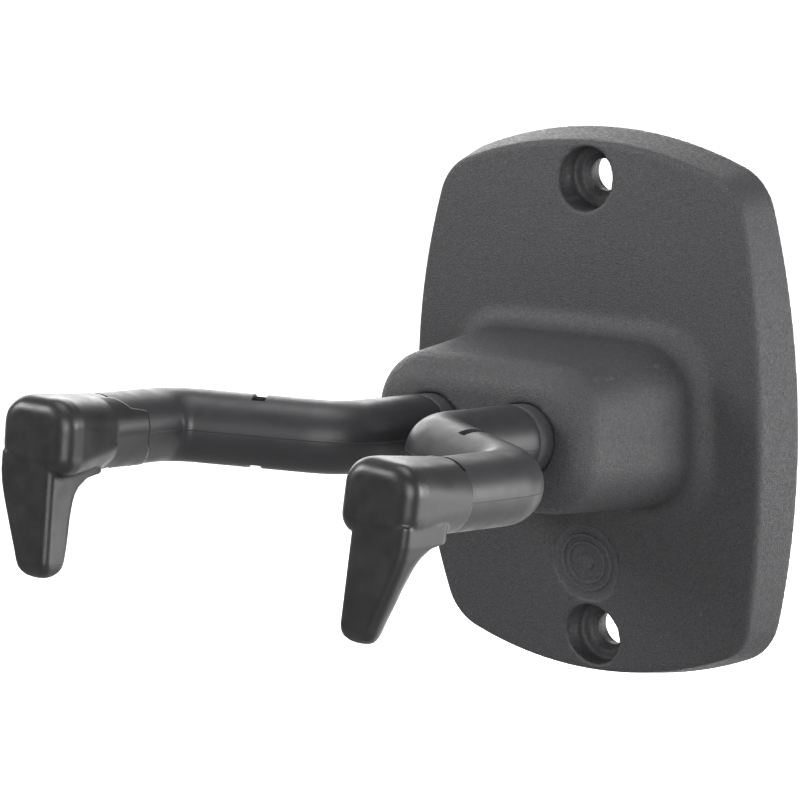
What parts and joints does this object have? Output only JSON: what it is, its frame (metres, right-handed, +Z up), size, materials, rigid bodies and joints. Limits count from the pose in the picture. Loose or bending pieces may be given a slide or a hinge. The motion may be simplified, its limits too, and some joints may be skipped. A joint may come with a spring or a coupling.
{
  "type": "wall guitar hanger",
  "caption": "Wall hanger for a guitar: a domed wall plate with a boss and cranked, rubber-covered arms that swivel and end in drop fingers.",
  "frame": {"origin": "centre of the plate's back face, on the wall", "axes": "+X to the right seen from the front, +Y into the wall, +Z up"},
  "size_m": [0.087, 0.1255, 0.1],
  "materials": {
    "plate_plastic": "fine spark-eroded grain, semi-matt black",
    "bush_plastic": "smooth satin black",
    "arm_rubber": "soft satin black",
    "cap_plastic": "smooth satin black",
    "back_steel": "black powder coat, matt",
    "screw_steel": "bright zinc",
    "block_alloy": "die-cast, matt",
    "liner_plastic": "natural, matt",
    "washer_steel": "zinc plated",
    "spring_steel": "tempered, dull",
    "rod_steel": "drawn, bright"
  },
  "bodies": {
    "wall": {"wall_plate": "plate_plastic", "back_plate": "back_steel", "back_plate_screws": "screw_steel", "bearing_block": "block_alloy", "block_screws": "screw_steel", "right_front_bush": "bush_plastic", "right_rear_bush": "liner_plastic", "right_thrust_washer": "washer_steel", "right_spring_washer": "spring_steel", "left_front_bush": "bush_plastic", "left_rear_bush": "liner_plastic", "left_thrust_washer": "washer_steel", "left_spring_washer": "spring_steel"},
    "right_arm": {"right_arm_rod": "rod_steel", "right_arm_sleeve": "arm_rubber", "right_end_cap": "cap_plastic", "right_stop_plate": "washer_steel", "right_lock_nut": "screw_steel"},
    "left_arm": {"left_arm_rod": "rod_steel", "left_arm_sleeve": "arm_rubber", "left_end_cap": "cap_plastic", "left_stop_plate": "washer_steel", "left_lock_nut": "screw_steel"}
  },
  "joints": [
    {"name": "right_arm_swivel", "type": "hinge", "parent": "wall", "child": "right_arm", "pos_m": [0.01, -0.0445, 0.0011], "axis": [0, -0.9945, 0.1045], "range_deg": [-24.2, 35.8]},
    {"name": "left_arm_swivel", "type": "hinge", "parent": "wall", "child": "left_arm", "pos_m": [-0.01, -0.0445, 0.0011], "axis": [0, 0.9945, -0.1045], "range_deg": [-32.2, 27.8]}
  ]
}
